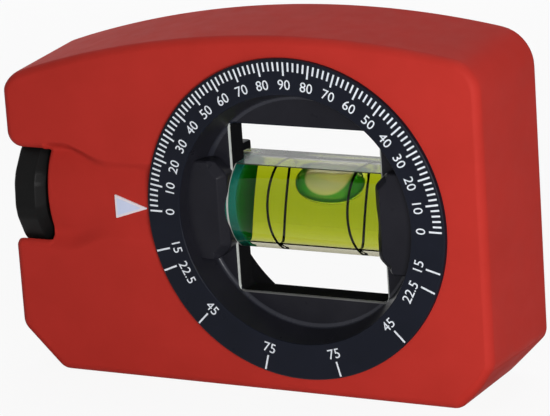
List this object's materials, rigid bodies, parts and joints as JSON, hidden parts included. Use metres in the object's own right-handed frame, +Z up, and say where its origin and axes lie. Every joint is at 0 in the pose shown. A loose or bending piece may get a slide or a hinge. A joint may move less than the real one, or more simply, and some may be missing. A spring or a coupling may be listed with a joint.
{
  "type": "magnetic pocket level",
  "caption": "Small magnetic pocket level: a red arched body with a turning graduated dial that carries a bubble vial, and a thumb wheel that locks the dial.",
  "frame": {"origin": "middle of the flat base, on the base face, half way through the thickness", "axes": "+X along the base towards the end without the lock wheel, -Y out of the front of the dial, +Z up"},
  "size_m": [0.084, 0.0218, 0.058],
  "materials": {
    "red_body": "moulded red plastic with a fine soft texture",
    "dial_black": "satin black moulded plastic",
    "wheel_black": "black moulded plastic with a soft sheen",
    "pointer_white": "white plastic",
    "vial_acrylic": "clear polished acrylic",
    "vial_liquid": "clear yellow-green liquid",
    "vial_bubble": "air bubble",
    "line_black": "printed black line",
    "dark_steel": "blackened steel",
    "steel": "plain steel",
    "brass": "turned brass",
    "rubber_black": "black rubber",
    "washer_white": "white nylon",
    "magnet_nickel": "nickel-plated magnet"
  },
  "bodies": {
    "body": {"body_shell": "red_body", "rear_cover": "red_body", "cover_screws": "dark_steel", "front_pointer": "pointer_white", "rear_pointer": "pointer_white", "wheel_bush": "brass", "thrust_washer": "washer_white", "magnet_left": "magnet_nickel", "magnet_middle": "magnet_nickel", "magnet_right": "magnet_nickel", "magnet_cup_left": "steel", "magnet_cup_middle": "steel", "magnet_cup_right": "steel"},
    "dial": {"dial_front": "dial_black", "dial_rear": "dial_black", "dial_screws": "steel", "front_friction_ring": "rubber_black", "rear_friction_ring": "rubber_black", "vial_body": "vial_acrylic", "vial_plug_left": "vial_acrylic", "vial_plug_right": "vial_acrylic", "vial_liquid": "vial_liquid", "level_lines": "line_black"},
    "bubble": {"vial_bubble": "vial_bubble"},
    "wheel": {"lock_wheel": "wheel_black", "wheel_insert": "brass", "wheel_clip": "steel"},
    "brake": {"lock_screw": "steel", "brake_shoe": "dial_black", "brake_pad": "rubber_black"}
  },
  "joints": [
    {"name": "dial_turn", "type": "hinge", "parent": "body", "child": "dial", "pos_m": [0.0093, 0, 0.0284], "axis": [0, -1, 0], "continuous": true},
    {"name": "bubble_slide", "type": "slide", "parent": "dial", "child": "bubble", "axis": [1, 0, 0], "range_m": [-0.0084, 0.0038]},
    {"name": "lock_wheel_turn", "type": "hinge", "parent": "body", "child": "wheel", "pos_m": [-0.038, 0, 0.0284], "axis": [1, 0, 0], "range_deg": [0, 360]},
    {"name": "brake_slide", "type": "slide", "parent": "body", "child": "brake", "axis": [1, 0, 0], "range_m": [0, 0.0007]}
  ],
  "couplings": [
    {"joint": "lock_wheel_turn", "follows": "brake_slide", "rad_per_m": 8975.9}
  ]
}
